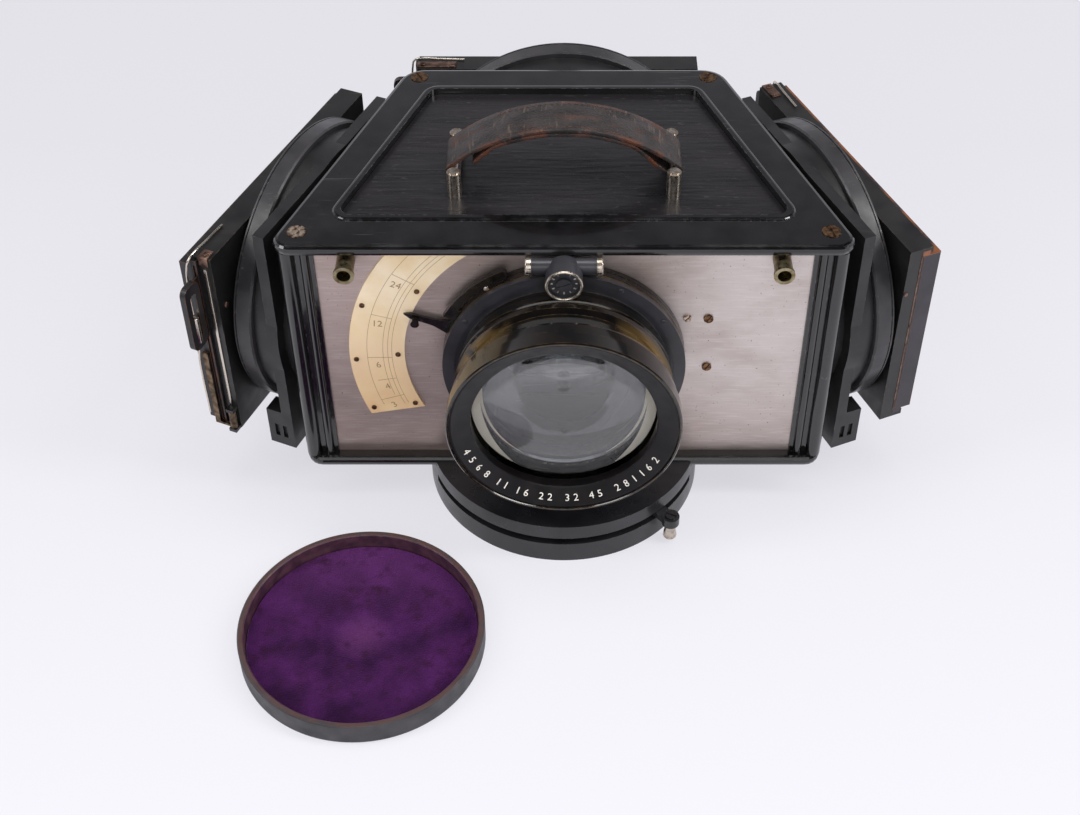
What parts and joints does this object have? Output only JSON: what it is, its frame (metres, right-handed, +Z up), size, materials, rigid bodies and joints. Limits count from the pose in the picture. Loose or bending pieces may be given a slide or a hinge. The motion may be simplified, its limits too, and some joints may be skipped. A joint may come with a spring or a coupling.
{
  "type": "three-colour camera",
  "caption": "One-shot colour camera: a wedge-shaped case with a large front lens, a focusing back with plate holder on each side and at the rear, a drum base and a loose lens cap.",
  "frame": {"origin": "mouth of the tripod bush, on the axis of the base drum, at table level", "axes": "+Z up, -Y towards what the lens looks at, +X to the camera's left hand, the right of a person in front of it"},
  "size_m": [0.3092, 0.2947, 0.1697],
  "materials": {
    "black_lacquer": "gloss black lacquer",
    "panel_lacquer": "satin black lacquer",
    "nickel_silver": "satin nickel silver",
    "scale_metal": "pale lacquered brass",
    "old_brass": "tarnished brass",
    "bright_brass": "satin brass",
    "nickel": "satin nickel plate",
    "shutter_black": "satin black enamel",
    "shutter_brown": "worn satin black",
    "blued_steel": "blued steel",
    "barrel_black": "gloss black, worn to brass",
    "lens_glass": "clear glass",
    "drum_black": "gloss black",
    "standard_black": "satin dark grey",
    "ring_black": "satin dark grey, worn",
    "back_black": "satin black",
    "holder_black": "satin black",
    "leather": "worn brown leather",
    "mirror_glass": "half-silvered",
    "blue_glass": "blue filter",
    "green_glass": "green filter",
    "red_glass": "red filter",
    "velvet": "purple velvet"
  },
  "bodies": {
    "case": {"body_shell": "black_lacquer", "top_cover": "black_lacquer", "top_panel": "panel_lacquer", "base_plate": "black_lacquer", "front_plate": "nickel_silver", "corner_posts": "black_lacquer", "case_screws": "old_brass", "scale_plate": "scale_metal", "scale_pins": "old_brass", "accessory_sockets": "nickel", "shutter_case": "shutter_brown", "shutter_face": "shutter_black", "air_cylinder": "shutter_black", "barrel_front": "barrel_black", "barrel_rear": "barrel_black", "retaining_ring": "barrel_black", "lens_front": "lens_glass", "lens_middle": "lens_glass", "lens_rear": "lens_glass", "focus_drum": "drum_black", "tripod_bush": "bright_brass", "handle_brackets": "nickel", "handle_strap": "leather", "mirror_frame": "standard_black", "semi_mirrors": "mirror_glass", "standard_left": "standard_black", "standard_right": "standard_black", "standard_rear": "standard_black"},
    "diaphragm": {"diaphragm_ring": "shutter_black"},
    "shutter_speed": {"speed_dial": "shutter_black"},
    "cocking": {"cocking_lever": "shutter_black"},
    "focus_handle": {"focus_lever": "drum_black", "lever_knob": "nickel"},
    "iris_1": {"iris_leaf_1": "blued_steel"},
    "iris_2": {"iris_leaf_2": "blued_steel"},
    "iris_3": {"iris_leaf_3": "blued_steel"},
    "iris_4": {"iris_leaf_4": "blued_steel"},
    "iris_5": {"iris_leaf_5": "blued_steel"},
    "iris_6": {"iris_leaf_6": "blued_steel"},
    "ring_left": {"focus_ring_left": "ring_black"},
    "back_left": {"back_plate_left": "back_black", "color_filter_left": "blue_glass", "plate_holder_left": "holder_black"},
    "slide_left": {"dark_slide_left": "holder_black"},
    "latch_left": {"holder_latch_left": "bright_brass"},
    "ring_right": {"focus_ring_right": "ring_black"},
    "back_right": {"back_plate_right": "back_black", "color_filter_right": "green_glass", "plate_holder_right": "holder_black"},
    "slide_right": {"dark_slide_right": "holder_black"},
    "latch_right": {"holder_latch_right": "bright_brass"},
    "ring_rear": {"focus_ring_rear": "ring_black"},
    "back_rear": {"back_plate_rear": "back_black", "color_filter_rear": "red_glass", "plate_holder_rear": "holder_black"},
    "slide_rear": {"dark_slide_rear": "holder_black"},
    "latch_rear": {"holder_latch_rear": "bright_brass"},
    "cap": {"lens_cap": "back_black", "cap_lining": "velvet"}
  },
  "joints": [
    {"name": "focus_lever_turn", "type": "hinge", "parent": "case", "child": "focus_handle", "pos_m": [0, 0, 0.01235], "axis": [0, 0, 1], "range_deg": [-105, 12]},
    {"name": "diaphragm_turn", "type": "hinge", "parent": "case", "child": "diaphragm", "pos_m": [0, -0.0177, 0.0805], "axis": [0, -1, 0], "range_deg": [-20, 44]},
    {"name": "speed_dial_turn", "type": "hinge", "parent": "case", "child": "shutter_speed", "pos_m": [0, -0.0304, 0.1327], "axis": [0, -1, 0], "range_deg": [-150, 150]},
    {"name": "cocking_lever_turn", "type": "hinge", "parent": "case", "child": "cocking", "pos_m": [0, -0.0204, 0.0805], "axis": [0, -1, 0], "range_deg": [0, 30]},
    {"name": "iris_leaf_1_turn", "type": "hinge", "parent": "case", "child": "iris_1", "pos_m": [0.0446, -0.0185, 0.0805], "axis": [0, -1, 0], "range_deg": [-10, 22]},
    {"name": "iris_leaf_2_turn", "type": "hinge", "parent": "case", "child": "iris_2", "pos_m": [0.0223, -0.0185, 0.11912], "axis": [0, -1, 0], "range_deg": [-10, 22]},
    {"name": "iris_leaf_3_turn", "type": "hinge", "parent": "case", "child": "iris_3", "pos_m": [-0.0223, -0.0185, 0.11912], "axis": [0, -1, 0], "range_deg": [-10, 22]},
    {"name": "iris_leaf_4_turn", "type": "hinge", "parent": "case", "child": "iris_4", "pos_m": [-0.0446, -0.0185, 0.0805], "axis": [0, -1, 0], "range_deg": [-10, 22]},
    {"name": "iris_leaf_5_turn", "type": "hinge", "parent": "case", "child": "iris_5", "pos_m": [-0.0223, -0.0185, 0.04188], "axis": [0, -1, 0], "range_deg": [-10, 22]},
    {"name": "iris_leaf_6_turn", "type": "hinge", "parent": "case", "child": "iris_6", "pos_m": [0.0223, -0.0185, 0.04188], "axis": [0, -1, 0], "range_deg": [-10, 22]},
    {"name": "focus_ring_left_turn", "type": "hinge", "parent": "case", "child": "ring_left", "pos_m": [-0.10992, 0.04736, 0.0805], "axis": [-0.9191, 0.3941, 0], "range_deg": [-12, 105]},
    {"name": "back_left_slide", "type": "slide", "parent": "case", "child": "back_left", "axis": [-0.9191, 0.3941, 0], "range_m": [-0.00092, 0.0081]},
    {"name": "dark_slide_left_pull", "type": "slide", "parent": "back_left", "child": "slide_left", "axis": [-0.3941, -0.9191, 0], "range_m": [0, 0.118]},
    {"name": "holder_latch_left_turn", "type": "hinge", "parent": "back_left", "child": "latch_left", "pos_m": [-0.14464, -0.01305, 0.039], "axis": [0, 0, 1], "range_deg": [0, 85]},
    {"name": "focus_ring_right_turn", "type": "hinge", "parent": "case", "child": "ring_right", "pos_m": [0.10992, 0.04736, 0.0805], "axis": [0.9191, 0.3941, 0], "range_deg": [-12, 105]},
    {"name": "back_right_slide", "type": "slide", "parent": "case", "child": "back_right", "axis": [0.9191, 0.3941, 0], "range_m": [-0.00092, 0.0081]},
    {"name": "dark_slide_right_pull", "type": "slide", "parent": "back_right", "child": "slide_right", "axis": [-0.3941, 0.9191, 0], "range_m": [0, 0.118]},
    {"name": "holder_latch_right_turn", "type": "hinge", "parent": "back_right", "child": "latch_right", "pos_m": [0.09009, 0.11415, 0.039], "axis": [0, 0, 1], "range_deg": [0, 85]},
    {"name": "focus_ring_rear_turn", "type": "hinge", "parent": "case", "child": "ring_rear", "pos_m": [0, 0.1201, 0.0805], "axis": [0, 1, 0], "range_deg": [-12, 105]},
    {"name": "back_rear_slide", "type": "slide", "parent": "case", "child": "back_rear", "axis": [0, 1, 0], "range_m": [-0.00092, 0.0081]},
    {"name": "dark_slide_rear_pull", "type": "slide", "parent": "back_rear", "child": "slide_rear", "axis": [-1, 0, 0], "range_m": [0, 0.118]},
    {"name": "holder_latch_rear_turn", "type": "hinge", "parent": "back_rear", "child": "latch_rear", "pos_m": [-0.0692, 0.1282, 0.039], "axis": [0, 0, 1], "range_deg": [0, 85]},
    {"name": "cap_lift", "type": "slide", "parent": "case", "child": "cap", "axis": [0, 0, 1], "range_m": [0, 0.15]}
  ],
  "couplings": [
    {"joint": "iris_leaf_1_turn", "follows": "diaphragm_turn", "ratio": 0.5},
    {"joint": "iris_leaf_2_turn", "follows": "diaphragm_turn", "ratio": 0.5},
    {"joint": "iris_leaf_3_turn", "follows": "diaphragm_turn", "ratio": 0.5},
    {"joint": "iris_leaf_4_turn", "follows": "diaphragm_turn", "ratio": 0.5},
    {"joint": "iris_leaf_5_turn", "follows": "diaphragm_turn", "ratio": 0.5},
    {"joint": "iris_leaf_6_turn", "follows": "diaphragm_turn", "ratio": 0.5},
    {"joint": "focus_ring_left_turn", "follows": "focus_lever_turn", "ratio": -1},
    {"joint": "back_left_slide", "follows": "focus_lever_turn", "m_per_rad": -0.0043654},
    {"joint": "focus_ring_right_turn", "follows": "focus_lever_turn", "ratio": -1},
    {"joint": "back_right_slide", "follows": "focus_lever_turn", "m_per_rad": -0.0043654},
    {"joint": "focus_ring_rear_turn", "follows": "focus_lever_turn", "ratio": -1},
    {"joint": "back_rear_slide", "follows": "focus_lever_turn", "m_per_rad": -0.0043654}
  ]
}
